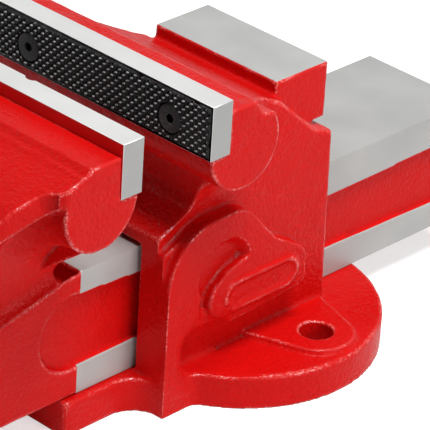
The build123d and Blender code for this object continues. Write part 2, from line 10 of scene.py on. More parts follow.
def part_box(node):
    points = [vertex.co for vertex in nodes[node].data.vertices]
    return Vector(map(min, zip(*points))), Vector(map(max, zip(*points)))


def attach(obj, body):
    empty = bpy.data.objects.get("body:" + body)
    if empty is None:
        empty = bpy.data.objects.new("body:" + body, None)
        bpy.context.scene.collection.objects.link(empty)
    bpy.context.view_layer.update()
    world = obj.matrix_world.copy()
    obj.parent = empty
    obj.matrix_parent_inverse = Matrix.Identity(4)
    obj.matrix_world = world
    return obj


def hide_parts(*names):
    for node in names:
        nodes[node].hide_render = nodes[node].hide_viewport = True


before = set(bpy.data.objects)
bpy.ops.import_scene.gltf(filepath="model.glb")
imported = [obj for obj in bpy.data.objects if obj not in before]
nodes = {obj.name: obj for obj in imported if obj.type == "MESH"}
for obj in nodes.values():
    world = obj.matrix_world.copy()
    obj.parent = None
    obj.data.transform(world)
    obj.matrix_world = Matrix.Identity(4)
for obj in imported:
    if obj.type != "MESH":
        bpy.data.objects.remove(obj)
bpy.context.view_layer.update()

MM = 0.001


def mm(*lengths):
    """Lengths in millimetres, as metres."""
    return tuple(length * MM for length in lengths)


def colour(red, green, blue):
    return (red, green, blue, 1.0)


# Places read from the CAD nodes in model.glb
FIXED_FACE_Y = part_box("fixed_jaw_plate")[0].y
MOVING_FACE_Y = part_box("moving_jaw_plate")[1].y
PLATE_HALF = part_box("fixed_jaw_plate")[1].x
BOSS_FRONT_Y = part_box("moving_jaw_casting")[0].y
SLIDE_BACK_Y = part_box("moving_jaw_casting")[1].y
SCREW_BACK_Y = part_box("main_screw")[1].y
SCREW_Z = (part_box("tommy_bar")[0].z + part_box("tommy_bar")[1].z) / 2

# Slide of the moving jaw, ground all round
SLIDE_HALF = 34.3 * MM
SLIDE_TOP = 86.0 * MM
SLIDE_FOOT = 19.0 * MM
SLIDE_START_Y = -128.9 * MM
SLIDE_END_Y = SLIDE_BACK_Y - 0.5 * MM
SLIDE_SIDE_DEPTH = 0.9 * MM
SLIDE_SIDE_OVER = 0.3 * MM

# Passage for the slide in the body
SLIDE_PLAY = 0.4 * MM
SLIDE_LIFT = 0.5 * MM
PASSAGE_FOOT = 17.0 * MM
PASSAGE_FRONT_Y = -86.5 * MM
PASSAGE_HIGH = mm(35.1, 40.0, 86.8)
PASSAGE_TRUE_FRONT_Y = -79.0 * MM
PASSAGE_TRUE_BACK_Y = 60.0 * MM

# Anvil
ANVIL_HALF = 41.4 * MM
ANVIL_FRONT_Y = -9.5 * MM
ANVIL_BACK_Y = 27.5 * MM
ANVIL_TOP = 149.8 * MM
PAINT_BORDER = 0.7 * MM

# Faced front of the moving jaw, and the foot of the base
FACING_DEPTH = 0.4 * MM
BOSS_HALF = 30.0 * MM
BOSS_TOP = 80.0 * MM
BASE_LOW = mm(-1.0, -150.0, -1.0)
BASE_HIGH = (100.0 * MM, 80.0 * MM, FACING_DEPTH)

# Skin of the castings
VOXEL = 1.0 * MM
CASTING_TRIANGLES = 190000
SOFTEN_FACTOR = 0.5
SOFTEN_ROUNDS = 2
RIDGE_ROUNDS = 8
RIDGE_FULL = 0.28 * MM
LUMP_DEPTH = 0.16 * MM
LUMP_SIZE = 7.0 * MM
LUMP_MIDDLE = 0.5
SNAP = 0.45 * MM
CORNER_SNAP = 1.2 * MM
ON_PLANE = 0.002 * MM
EASE_ROUNDS = 60
RIB_FOOT = (mm(47.0, -86.0, 18.0), mm(90.0, -48.0, 50.0))

# Teeth of the jaw plates, and the rings of one tooth: height, reach and how square it is
TOOTH_HEIGHT = 1.25 * MM
TOOTH_HALF_LENGTH = 2.61 * MM
TOOTH_HALF_WIDTH = 2.07 * MM
TOOTH_TURN = math.radians(5.8)
TOOTH_COUNT = 45
TOOTH_STEP_DOWN = mm(2.79, 0.0, -1.80)
TOOTH_STEP_UP = mm(2.41, 0.0, 2.33)
TOOTH_SIDES = 12
TOOTH_RINGS = [
    (-0.12, 0.99, 1.05), (0.0, 0.95, 1.1), (0.45, 0.80, 1.3), (0.78, 0.58, 1.6), (0.95, 0.32, 1.8),
    (1.0, 0.12, 1.8),
]

# Jaw plates
PLATE_CHAMFER = 0.22 * MM
PLATE_EDGE = 1.01 * PLATE_CHAMFER
PLATE_SHARP = 42.0
TEETH_DEPTH = 1.01 * TOOTH_HEIGHT
BACK_DEPTH = 2 * TOOTH_HEIGHT
# Painted glints: faces near a tooth's crest that lean upward get a bright finish
GLINT_DEPTH = 0.6 * TOOTH_HEIGHT
GLINT_SLOPE_LOW = 0.15
GLINT_SLOPE_HIGH = 0.64
GLINT_LEAN = -0.15
SQUARE_ON = 0.9
UPRIGHT_R = 4.1 * MM
UPRIGHT_DEPTH = 3.2 * MM
UPRIGHT_FOOT = 100.0 * MM
UPRIGHT_HEAD = 200.0 * MM
UPRIGHT_STEPS = 40

# Finishes of a jaw plate, in the order in which it is dressed
ON_TOP, ON_TEETH, ON_BACK, ON_SHADED_END, ON_PAINTED_GLINT = range(5)

# Holes for the plate screws
PLATE_SCREW_X = 48.0 * MM
PLATE_SCREW_DROP = 16.0 * MM
PLATE_HOLE_R = 7.9 * MM
PLATE_HOLE_RIM = 1.2 * MM
PLATE_HOLE_DEPTH = 30.0 * MM
PLATE_SHANK_R = 4.2 * MM
ROUND_STEPS = 48

# Plate screws, with how far in and down the rim of the head is eased
PLATE_HEAD_R = 7.2 * MM
PLATE_HEAD_RIM = 0.9 * MM
PLATE_HEAD_SINK = 0.5 * MM
PLATE_HEAD_EASE = [mm(0.5, 0.0), mm(0.15, 0.1), mm(0.0, 0.3)]
SHANK_CLEAR = 0.2 * MM
SHANK_TIP = 1.0 * MM
SOCKET_R = 4.4 * MM / math.sqrt(3)
SOCKET_SIDES = 6
SOCKET_DEPTH = 3.2 * MM
SOCKET_POINT = 0.8 * MM
SOCKET_OVERCUT = 0.5 * MM
MOUTH_EASE = 0.2 * MM
MOUTH_DEPTH = 0.3 * MM
PLATE_SCREW_SHARP = 30.0

# Main screw
THREAD_R = 12.5 * MM
THREAD_ROOT_R = 9.4 * MM
THREAD_LEAD = 6.0 * MM
THREAD_FRONT_Y = -181.0 * MM
THREAD_STEPS = 36
THREAD_MOUTH = 0.32 * THREAD_LEAD
THREAD_FLOOR = 0.19 * THREAD_LEAD
THREAD_OVERCUT = 0.3 * MM
THREAD_SHARP = 28.0

# Paint on the castings
PAINT_RED = colour(0.57, 0.004, 0.004)
PAINT_RED_DEEP = colour(0.49, 0.003, 0.002)
# Painted shade: a darker red laid into concave creases
PAINT_VALLEY_SHADE = colour(0.22, 0.0, 0.0)
# Painted highlight, with worn paint: a pale pink laid on bent edges as glints
PAINT_EDGE_GLINT = colour(0.95, 0.36, 0.34)
PAINT_SHINE = 0.09
PAINT_ROUGHNESS = (0.24, 0.32)
PAINT_RELIEF = 0.6 * MM
PAINT_COAT_ROUGHNESS = 0.12
# How strongly the painted edge glint shows, on ridges and, less, in hollows
EDGE_GLINT_SHARE = 0.42
HOLLOW_SHARE = -0.42
# Where and how strongly the painted crease shade lies
VALLEY_SHADE_RANGE = (-0.3, -1.0)
VALLEY_SHADE_SHARE = 0.7

# Bare iron and plate steel
IRON_LIGHT = colour(0.49, 0.49, 0.48)
IRON_DARK = colour(0.35, 0.35, 0.34)
IRON_METAL = 0.3
IRON_ROUGHNESS = (0.34, 0.46)
IRON_STREAKS = 0.06
STEEL_LIGHT = colour(0.70, 0.70, 0.69)
STEEL_DARK = colour(0.56, 0.56, 0.55)
# Painted shade: the plate ends are the same ground steel, coloured darker
SHADED_END_LIGHT = colour(0.44, 0.44, 0.43)
SHADED_END_DARK = colour(0.34, 0.34, 0.33)
STEEL_METAL = 0.6
STEEL_ROUGHNESS = (0.30, 0.42)
# Painted light: the plate backs carry the castings' paint, coloured lighter
BACK_RED_LIT_LIGHT = colour(0.76, 0.004, 0.004)
BACK_RED_LIT_DARK = colour(0.66, 0.002, 0.003)
BACK_ROUGHNESS = (0.3, 0.42)

# Blackened steel, and painted glints on the teeth
BLACK_DARK = colour(0.004, 0.004, 0.005)
BLACK_LIGHT = colour(0.012, 0.012, 0.013)
SCREW_DARK = colour(0.022, 0.024, 0.026)
SCREW_LIGHT = colour(0.045, 0.047, 0.050)
# Painted highlight with rubbed wear: edges of the black steel made lighter grey
BLACK_EDGE_GLINT = colour(0.16, 0.16, 0.16)
BLACK_EDGE_GLINT_SHARE = 0.5
BLACK_SPREAD = 0.12
BLACK_GRAIN_RANGE = (0.4, 1.2)
BLACK_IOR = 1.5
BLACK_SHINE = 0.2
GLINT_LIGHT = colour(0.95, 0.95, 0.95)
GLINT_DARK = colour(0.35, 0.35, 0.35)
GLINT_ROUGHNESS = 0.3
GLINT_RANGE = (0.34, 0.66)

# Patterns: the scale of slow tones and broken edges, and the parts of a noise that show
NOISE_RANGE = (0.3, 0.7)
TONE_SCALE = 0.02
STRETCH_SCALE = 0.07
SPECK_RANGE = (0.46, 0.62)
STRETCH_RANGE = (0.4, 0.58)
PLAIN_CLOUD_SIZE = 14.0
PLAIN_SPREAD = 0.1
ALONG_X = (0.05, 2.0, 2.0)
ALONG_Y = (2.0, 0.05, 2.0)
ROUND_AXIS = (0.2, 3.0, 0.2)
EVEN = (0.6, 0.6, 0.6)

# Camera
CAMERA_AZIMUTH = math.radians(42.6926)
CAMERA_ELEVATION = math.radians(28.7234)
CAMERA_ROLL = math.radians(3.7467)
CAMERA_PLACE = Vector((1.03052, -1.11916, 0.88973))
CAMERA_LENS = 289.67
CAMERA_SENSOR = 36.0

# Floor, sky and lamps. A lamp is its name, place, side and power
WHITE = colour(1.0, 1.0, 1.0)
FLOOR_LIGHT = colour(0.72, 0.72, 0.72)
FLOOR_DARK = colour(0.70, 0.70, 0.70)
FLOOR_SIZE = 6.0
FLOOR_CLOUDS = 2.0
FLOOR_ROUGHNESS = 0.9
FLOOR_SHINE = 0.1
FLOOR_LIFT = 0.3
SKY_LIGHT = 0.02
AIM = (0.0, -0.06, 0.08)
LAMPS = [
    ("key_above", (0.42, -0.05, 1.42), 0.5, 23.0),
    ("fill_right", (1.4, 0.1, 0.55), 0.5, 8.0),
    ("glint_left", (-1.30, -0.34, 0.72), 0.12, 1.2),
]

# Boxes without paint, for the right half of a casting, from just past its middle
SLIDE_GROUND = [
    ((-MM, SLIDE_START_Y, SLIDE_TOP - FACING_DEPTH),
     (SLIDE_HALF + SLIDE_SIDE_OVER, SLIDE_END_Y, SLIDE_TOP + MM)),
    ((SLIDE_HALF - SLIDE_SIDE_DEPTH, SLIDE_START_Y, SLIDE_FOOT - MM),
     (SLIDE_HALF + SLIDE_SIDE_OVER, SLIDE_END_Y, SLIDE_TOP + MM)),
    ((-MM, SLIDE_START_Y, SLIDE_FOOT - MM), (SLIDE_HALF + MM, SLIDE_END_Y, SLIDE_FOOT + FACING_DEPTH)),
    ((-MM, BOSS_FRONT_Y - MM, 0.0), (BOSS_HALF, BOSS_FRONT_Y + FACING_DEPTH, BOSS_TOP)),
]
BODY_GROUND = [
    ((-MM, ANVIL_FRONT_Y + PAINT_BORDER, ANVIL_TOP - FACING_DEPTH),
     (ANVIL_HALF - PAINT_BORDER, ANVIL_BACK_Y - PAINT_BORDER, ANVIL_TOP + MM)),
    ((-MM, PASSAGE_FRONT_Y, PASSAGE_FOOT), PASSAGE_HIGH),
    (BASE_LOW, BASE_HIGH),
]

# Ground planes of the castings: axis, height, the box they lie in, and how far points are drawn to them
X_AXIS, Y_AXIS, Z_AXIS = range(3)
SLIDE_REACH = ((-MM, SLIDE_START_Y, 0.0), (SLIDE_HALF + MM, SLIDE_BACK_Y + MM, SLIDE_TOP + MM))
ANVIL_REACH = ((-MM, ANVIL_FRONT_Y, ANVIL_TOP - MM), (ANVIL_HALF + MM, ANVIL_BACK_Y + MM, ANVIL_TOP + MM))
PASSAGE_REACH = (
    (-MM, PASSAGE_TRUE_FRONT_Y, PASSAGE_FOOT),
    (SLIDE_HALF + CORNER_SNAP, PASSAGE_TRUE_BACK_Y, SLIDE_TOP + CORNER_SNAP),
)
BODY_PLANES = [
    (Z_AXIS, ANVIL_TOP, ANVIL_REACH, SNAP),
    (X_AXIS, SLIDE_HALF + SLIDE_PLAY, PASSAGE_REACH, CORNER_SNAP),
    (Z_AXIS, SLIDE_TOP + SLIDE_PLAY, PASSAGE_REACH, CORNER_SNAP),
    (Z_AXIS, SLIDE_FOOT - SLIDE_LIFT, PASSAGE_REACH, CORNER_SNAP),
]
SLIDE_PLANES = [
    (Z_AXIS, SLIDE_TOP, SLIDE_REACH, SNAP),
    (X_AXIS, SLIDE_HALF, SLIDE_REACH, SNAP),
    (Z_AXIS, SLIDE_FOOT, SLIDE_REACH, SNAP),
    (Y_AXIS, SLIDE_BACK_Y, SLIDE_REACH, SNAP),
]

# Points this close count as one, in made pieces and in copies of CAD nodes
MERGE = 1e-7
NODE_MERGE = 1e-6

# Kinds of node socket
NUMBER = "NodeSocketFloat"
VECTOR = "NodeSocketVector"


# Helpers for meshes

def show(mesh, name):
    """A new object at the origin that holds a mesh."""
    made = bpy.data.objects.new(name, mesh)
    bpy.context.scene.collection.objects.link(made)
    return made


def show_build(build, name):
    """Turn a finished bmesh into an object."""
    mesh = bpy.data.meshes.new(name)
    build.to_mesh(mesh)
    build.free()
    return show(mesh, name)


def settle(piece):
    """Turn the piece with its modifiers into a plain mesh."""
    bpy.context.view_layer.update()
    graph = bpy.context.evaluated_depsgraph_get()
    evaluated = piece.evaluated_get(graph)
    mesh = bpy.data.meshes.new_from_object(evaluated, preserve_all_data_layers=True, depsgraph=graph)
    mesh.name = piece.name
    piece.modifiers.clear()
    piece.data = mesh
    return piece


def dress(piece, *materials):
    piece.data.materials.clear()
    for material in materials:
        piece.data.materials.append(material)


def turned(name, profile, steps, place, turn):
    """Spin a profile of (radius, length) pairs round an axis, then carry it to its place."""
    build = bmesh.new()
    loop = [build.verts.new((radius, 0, length)) for radius, length in profile]
    edges = [build.edges.new((a, b)) for a, b in zip(loop, loop[1:])]
    bmesh.ops.spin(
        build, geom=loop + edges, cent=(0, 0, 0), axis=(0, 0, 1), angle=2 * math.pi, steps=steps,
        use_merge=True,
    )
    bmesh.ops.remove_doubles(build, verts=build.verts, dist=MERGE)
    bmesh.ops.recalc_face_normals(build, faces=build.faces)
    piece = show_build(build, name)
    piece.data.transform(Matrix.Translation(place) @ turn)
    return piece


def smooth_by_angle(piece, degrees):
    """Smooth shading with sharp edges where two faces meet at more than an angle."""
    for face in piece.data.polygons:
        face.use_smooth = True
    build = bmesh.new()
    build.from_mesh(piece.data)
    limit = math.radians(degrees)
    for edge in build.edges:
        if len(edge.link_faces) == 2:
            edge.smooth = edge.calc_face_angle(0) < limit
    build.to_mesh(piece.data)
    build.free()


def cut_away(piece, tool, operation="DIFFERENCE"):
    """Boolean the piece with a tool, which is then removed."""
    cut = piece.modifiers.new("cut", "BOOLEAN")
    cut.operation = operation
    cut.solver = "MANIFOLD"
    cut.object = tool
    settle(piece)
    bpy.data.objects.remove(tool)
    return piece


def box_piece(name, low, high, bevel=0.0):
    """Box between two corners, with its edges bevelled."""
    low, high = Vector(low), Vector(high)
    place = Matrix.Translation((low + high) / 2)
    build = bmesh.new()
    bmesh.ops.create_cube(build, size=1.0)
    bmesh.ops.transform(build, verts=build.verts, matrix=place @ Matrix.Diagonal((*(high - low), 1.0)))
    if bevel:
        bmesh.ops.bevel(
            build, geom=build.edges[:], offset=bevel, offset_type="OFFSET", segments=1, profile=0.5,
            affect="EDGES",
        )
    bmesh.ops.triangulate(build, faces=build.faces)
    return show_build(build, name)


def copy_of_node(node, name):
    """Merged copy of a CAD node's mesh."""
    build = bmesh.new()
    build.from_mesh(nodes[node].data)
    bmesh.ops.remove_doubles(build, verts=build.verts, dist=NODE_MERGE)
    return show_build(build, name)


def hand_in(piece, body, slot, *replaced):
    """Say what the piece rides on and what it stands for; the slot for where its finish comes from is not
    used.
    """
    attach(piece, body)
    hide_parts(*replaced)


# Helpers for shader nodes

def feed(tree, socket, value):
    """Link a socket to an input, or set the input to a plain value."""
    if isinstance(value, bpy.types.NodeSocket):
        tree.links.new(value, socket)
    else:
        socket.default_value = value


def feed_all(tree, node, inputs):
    for name, value in dict(inputs).items():
        feed(tree, node.inputs[name], value)


def add_node(tree, kind, inputs=(), **attributes):
    """Add one node, set its attributes, and set or link its inputs."""
    made = tree.nodes.new(kind)
    for name, value in attributes.items():
        setattr(made, name, value)
    feed_all(tree, made, inputs)
    return made


def reckon(tree, operation, *values):
    """Math node, whose inputs are numbers or sockets."""
    return add_node(tree, "ShaderNodeMath", dict(enumerate(values)), operation=operation).outputs[0]


def reckon_vector(tree, operation, *values):
    return add_node(tree, "ShaderNodeVectorMath", dict(enumerate(values)), operation=operation).outputs[0]


def in_millimetres(tree, position):
    return reckon_vector(tree, "MULTIPLY", position, (1 / MM, 1 / MM, 1 / MM))


def scale_of(tree, size):
    """Noise scale at which one lump has the given size."""
    return reckon(tree, "DIVIDE", 1.0, size)


def ramp(tree, value, low, high, out_low=0.0, out_high=1.0):
    """Carry a value from one range to another, held at both ends."""
    made = add_node(
        tree, "ShaderNodeMapRange",
        {"Value": value, "From Min": low, "From Max": high, "To Min": out_low, "To Max": out_high},
        interpolation_type="SMOOTHSTEP",
    )
    return made.outputs[0]


def noise_of(tree, position, scale, detail=3.0, roughness=0.55):
    made = add_node(
        tree, "ShaderNodeTexNoise",
        {"Vector": position, "Scale": scale, "Detail": detail, "Roughness": roughness},
    )
    return made.outputs["Fac"]


def blend(tree, data_type, kind, share, low, high):
    """Mix node, whose sockets are found by what they carry."""
    made = add_node(tree, "ShaderNodeMix", data_type=data_type)
    for name, value in (("Factor_Float", share), (f"A_{kind}", low), (f"B_{kind}", high)):
        feed(tree, next(socket for socket in made.inputs if socket.identifier == name), value)
    return next(socket for socket in made.outputs if socket.identifier == f"Result_{kind}")


def blend_colour(tree, share, low, high):
    return blend(tree, "RGBA", "Color", share, low, high)


def blend_number(tree, share, low, high):
    return blend(tree, "FLOAT", "Float", share, low, high)


def new_group(name, inputs, outputs):
    """Shader group with named sockets; returns the tree, its given sockets and its output node."""
    tree = bpy.data.node_groups.new(name, "ShaderNodeTree")
    for label, kind, value in inputs:
        socket = tree.interface.new_socket(label, in_out="INPUT", socket_type=kind)
        if value is not None:
            socket.default_value = value
    for label in outputs:
        tree.interface.new_socket(label, in_out="OUTPUT", socket_type=NUMBER)
    return tree, tree.nodes.new("NodeGroupInput").outputs, tree.nodes.new("NodeGroupOutput")


def use_group(tree, group, inputs):
    """Place a shader group, set or link its inputs, and return its outputs."""
    made = tree.nodes.new("ShaderNodeGroup")
    made.node_tree = group
    feed_all(tree, made, inputs)
    return made.outputs


def make_cast_skin():
    """Sand-cast grain under sprayed paint: fine peel, coarser lumps, and slow changes of tone."""
    tree, given, result = new_group(
        "cast_skin",
        [("Position", VECTOR, None), ("Peel Size", NUMBER, 2.2), ("Lump Size", NUMBER, 9.0),
         ("Lumps", NUMBER, 0.6)],
        ["Height", "Tone"],
    )
    place = in_millimetres(tree, given["Position"])
    peel = noise_of(tree, place, scale_of(tree, given["Peel Size"]), detail=2.0, roughness=0.6)
    lumps = noise_of(tree, place, scale_of(tree, given["Lump Size"]), detail=2.0, roughness=0.5)
    feed_all(tree, result, {
        "Height": reckon(tree, "MULTIPLY_ADD", lumps, given["Lumps"], peel),
        "Tone": noise_of(tree, place, TONE_SCALE, detail=3.0, roughness=0.5),
    })
    return tree


def make_edge_wear_and_glint():
    """Broken line along bent edges, for worn or thin paint and for painted glints."""
    tree, given, result = new_group(
        "edge_wear",
        [("Position", VECTOR, None), ("Ridge", NUMBER, 0.0), ("Start", NUMBER, 0.2), ("Full", NUMBER, 0.6),
         ("Break Up", NUMBER, 0.94), ("Speck Size", NUMBER, 1.1)],
        ["Edge"],
    )
    place = in_millimetres(tree, given["Position"])
    edge = ramp(tree, given["Ridge"], given["Start"], given["Full"])
    specks = noise_of(tree, place, scale_of(tree, given["Speck Size"]), detail=2.0, roughness=0.6)
    stretches = noise_of(tree, place, STRETCH_SCALE, detail=1.0, roughness=0.5)
    whole = reckon(tree, "MULTIPLY", ramp(tree, specks, *SPECK_RANGE), ramp(tree, stretches, *STRETCH_RANGE))
    lost = reckon(tree, "MULTIPLY", given["Break Up"], reckon(tree, "SUBTRACT", 1.0, whole))
    feed_all(tree, result, {"Edge": reckon(tree, "MULTIPLY", edge, reckon(tree, "SUBTRACT", 1.0, lost))})
    return tree


def make_grinding():
    """Surface grinder marks: fine streaks along one axis, with soft clouds over them."""
    tree, given, result = new_group(
        "grinding",
        [("Position", VECTOR, None), ("Stretch", VECTOR, ALONG_X), ("Cloud Size", NUMBER, 30.0)],
        ["Streaks", "Clouds"],
    )
    place = in_millimetres(tree, given["Position"])
    drawn = reckon_vector(tree, "MULTIPLY", place, given["Stretch"])
    streaks = noise_of(tree, drawn, 1.0, detail=3.0, roughness=0.6)
    clouds = noise_of(tree, place, scale_of(tree, given["Cloud Size"]), detail=2.0, roughness=0.5)
    feed_all(tree, result, {"Streaks": streaks, "Clouds": clouds})
    return tree


def make_inside_box():
    """1 inside a box given by two corners, 0 outside."""
    tree, given, result = new_group(
        "inside_box", [("Position", VECTOR, None), ("Low", VECTOR, None), ("High", VECTOR, None)], ["Mask"]
    )
    room = []
    for a, b in (("Position", "Low"), ("High", "Position")):
        gap = reckon_vector(tree, "SUBTRACT", given[a], given[b])
        room += list(add_node(tree, "ShaderNodeSeparateXYZ", {0: gap}).outputs)
    least = room[0]
    for value in room[1:]:
        least = reckon(tree, "MINIMUM", least, value)
    feed_all(tree, result, {"Mask": reckon(tree, "GREATER_THAN", least, 0.0)})
    return tree


CAST_SKIN = make_cast_skin()
EDGE_WEAR_AND_GLINT = make_edge_wear_and_glint()
GRINDING = make_grinding()
INSIDE_BOX = make_inside_box()


# Finishes

def new_material(name):
    """Material with an empty tree, its Principled shader and the object position."""
    made = bpy.data.materials.new(name)
    made.use_nodes = True
    tree = made.node_tree
    tree.nodes.clear()
    shader = tree.nodes.new("ShaderNodeBsdfPrincipled")
    output = tree.nodes.new("ShaderNodeOutputMaterial")
    tree.links.new(shader.outputs[0], output.inputs["Surface"])
    position = tree.nodes.new("ShaderNodeTexCoord").outputs["Object"]
    return made, tree, shader, position


def bump_of(tree, height, strength, distance):
    made = add_node(tree, "ShaderNodeBump", {"Height": height, "Strength": strength, "Distance": distance})
    return made.outputs[0]


def folded(tree, position):
    """The position with X taken as positive, for things that are the same on both sides."""
    split = add_node(tree, "ShaderNodeSeparateXYZ", {0: position}).outputs
    side = reckon(tree, "ABSOLUTE", split[0])
    return add_node(tree, "ShaderNodeCombineXYZ", {0: side, 1: split[1], 2: split[2]}).outputs[0]


def make_casting_finish(name, ground_boxes, stretch):
    """Glossy red paint over cast iron, with painted shade in creases and painted glints along edges, and bare
    ground iron inside the given boxes.
    """
    made, tree, shader, position = new_material(name)
    skin = use_group(tree, CAST_SKIN, {"Position": position})
    ridge = add_node(tree, "ShaderNodeAttribute", attribute_name="ridge").outputs["Fac"]
    bend = reckon(tree, "MAXIMUM", ridge, reckon(tree, "MULTIPLY", ridge, HOLLOW_SHARE))
    wear_and_glint = use_group(tree, EDGE_WEAR_AND_GLINT, {"Position": position, "Ridge": bend})["Edge"]
    grinding = use_group(tree, GRINDING, {"Position": position, "Stretch": stretch})
    side = folded(tree, position)
    ground = 0.0
    for low, high in ground_boxes:
        mask = use_group(tree, INSIDE_BOX, {"Position": side, "Low": low, "High": high})["Mask"]
        ground = reckon(tree, "MAXIMUM", ground, mask)
    painted = reckon(tree, "SUBTRACT", 1.0, ground)
    paint = blend_colour(tree, skin["Tone"], PAINT_RED_DEEP, PAINT_RED)
    # Painted shade: the paint darkens towards a deep red in concave creases
    valley_shade = ramp(tree, ridge, *VALLEY_SHADE_RANGE, 0.0, VALLEY_SHADE_SHARE)
    paint = blend_colour(tree, valley_shade, paint, PAINT_VALLEY_SHADE)
    # Painted highlight: a broken pale pink line on bent edges, for glints as well as worn paint
    paint = blend_colour(tree, reckon(tree, "MULTIPLY", wear_and_glint, EDGE_GLINT_SHARE), paint, PAINT_EDGE_GLINT)
    iron = blend_colour(tree, grinding["Clouds"], IRON_DARK, IRON_LIGHT)
    paint_gloss = ramp(tree, skin["Tone"], *NOISE_RANGE, *PAINT_ROUGHNESS)
    iron_gloss = ramp(tree, grinding["Streaks"], *NOISE_RANGE, *IRON_ROUGHNESS)
    fine = reckon(tree, "MULTIPLY", grinding["Streaks"], IRON_STREAKS)
    height = reckon(tree, "MULTIPLY_ADD", skin["Height"], painted, fine)
    feed_all(tree, shader, {
        "Base Color": blend_colour(tree, ground, paint, iron),
        "Metallic": reckon(tree, "MULTIPLY", ground, IRON_METAL),
        "Roughness": blend_number(tree, ground, paint_gloss, iron_gloss),
        "Specular IOR Level": PAINT_SHINE,
        "Coat Roughness": PAINT_COAT_ROUGHNESS,
        "Coat Weight": reckon(tree, "MULTIPLY", wear_and_glint, painted),
        "Normal": bump_of(tree, height, strength=1.0, distance=PAINT_RELIEF),
    })
    return made


def make_ground_steel(name, dark, light, stretch):
    """Surface-ground hardened steel."""
    made, tree, shader, position = new_material(name)
    grinding = use_group(tree, GRINDING, {"Position": position, "Stretch": stretch})
    feed_all(tree, shader, {
        "Base Color": blend_colour(tree, grinding["Clouds"], dark, light),
        "Metallic": STEEL_METAL,
        "Roughness": ramp(tree, grinding["Streaks"], *NOISE_RANGE, *STEEL_ROUGHNESS),
        "Normal": bump_of(tree, grinding["Streaks"], strength=0.25, distance=0.02 * MM),
    })
    return made


def make_black_steel(name, roughness, grain, dark, light):
    """Blackened steel, with faint grain, and edges a little brighter: rubbed wear with a painted highlight.
    """
    made, tree, shader, position = new_material(name)
    skin = use_group(tree, CAST_SKIN, {"Position": position, "Peel Size": grain, "Lumps": 0.3})
    pointed = tree.nodes.new("ShaderNodeNewGeometry").outputs["Pointiness"]
    wear_and_glint = use_group(tree, EDGE_WEAR_AND_GLINT, {
        "Position": position, "Ridge": pointed, "Start": 0.53, "Full": 0.62, "Speck Size": 0.8,
    })["Edge"]
    base = blend_colour(tree, skin["Tone"], dark, light)
    # Painted highlight with rubbed wear: lighter grey on pointed edges
    feed_all(tree, shader, {
        "Base Color": blend_colour(tree, reckon(tree, "MULTIPLY", wear_and_glint, BLACK_EDGE_GLINT_SHARE), base, BLACK_EDGE_GLINT),
        "Roughness": ramp(tree, skin["Height"], *BLACK_GRAIN_RANGE, roughness, roughness + BLACK_SPREAD),
        "IOR": BLACK_IOR,
        "Specular IOR Level": BLACK_SHINE,
        "Normal": bump_of(tree, skin["Height"], strength=0.35, distance=0.04 * MM),
    })
    return made


def make_painted_glint_steel(name):
    """Painted glints: upper sides of the teeth made bright where they would catch the light, some more than
    others.
    """
    made, tree, shader, position = new_material(name)
    patches = use_group(tree, CAST_SKIN, {"Position": position, "Peel Size": 1.6, "Lumps": 0.0})["Height"]
    feed_all(tree, shader, {
        "Base Color": blend_colour(tree, ramp(tree, patches, *GLINT_RANGE), GLINT_DARK, GLINT_LIGHT),
        "Roughness": GLINT_ROUGHNESS,
        "Normal": bump_of(tree, patches, strength=0.3, distance=0.03 * MM),
    })
    return made


def make_plate_back_painted_light(name):
    """Deep red paint on the back of a jaw plate, coloured lighter than the castings' red: painted light."""
    made, tree, shader, position = new_material(name)
    skin = use_group(tree, CAST_SKIN, {"Position": position})
    feed_all(tree, shader, {
        "Base Color": blend_colour(tree, skin["Tone"], BACK_RED_LIT_DARK, BACK_RED_LIT_LIGHT),
        "Roughness": ramp(tree, skin["Tone"], *NOISE_RANGE, *BACK_ROUGHNESS),
        "Normal": bump_of(tree, skin["Height"], strength=0.3, distance=0.06 * MM),
    })
    return made


def make_plain_steel(name, light, dark, roughness, stretch):
    """Turned, drawn or plated steel, with streaks along its working direction."""
    made, tree, shader, position = new_material(name)
    grinding = use_group(tree, GRINDING, {
        "Position": position, "Stretch": stretch, "Cloud Size": PLAIN_CLOUD_SIZE,
    })
    feed_all(tree, shader, {
        "Base Color": blend_colour(tree, grinding["Clouds"], dark, light),
        "Metallic": 1.0,
        "Roughness": ramp(tree, grinding["Streaks"], *NOISE_RANGE, roughness, roughness + PLAIN_SPREAD),
        "Normal": bump_of(tree, grinding["Streaks"], strength=0.3, distance=0.03 * MM),
    })
    return made


body_finish = make_casting_finish("red_casting_ground_anvil", BODY_GROUND, ALONG_X)
jaw_finish = make_casting_finish("red_casting_ground_slide", SLIDE_GROUND, ALONG_Y)
plate_steel = make_ground_steel("ground_plate_steel", STEEL_DARK, STEEL_LIGHT, ALONG_X)
# Painted shade: a darker copy of the plate steel for the plate ends
shaded_plate_end_steel = make_ground_steel("ground_plate_end", SHADED_END_DARK, SHADED_END_LIGHT, ALONG_Y)
back_red_painted_light = make_plate_back_painted_light("painted_plate_back")
tooth_black = make_black_steel(
    "black_serrated_face", roughness=0.2, grain=0.7, dark=BLACK_DARK, light=BLACK_LIGHT
)
tooth_painted_glint = make_painted_glint_steel("rubbed_tooth_side")
plate_screw_black = make_black_steel(
    "black_socket_screw", roughness=0.38, grain=0.5, dark=SCREW_DARK, light=SCREW_LIGHT
)
screw_steel = make_plain_steel(
    "turned_screw_steel", light=colour(0.62, 0.61, 0.60), dark=colour(0.45, 0.44, 0.43),
    roughness=0.28, stretch=ROUND_AXIS,
)
bar_steel = make_plain_steel(
    "drawn_bar_steel", light=colour(0.72, 0.72, 0.72), dark=colour(0.58, 0.58, 0.58),
    roughness=0.16, stretch=ALONG_X,
)
zinc = make_plain_steel(
    "zinc_plated", light=colour(0.70, 0.72, 0.74), dark=colour(0.55, 0.57, 0.60), roughness=0.3, stretch=EVEN
)
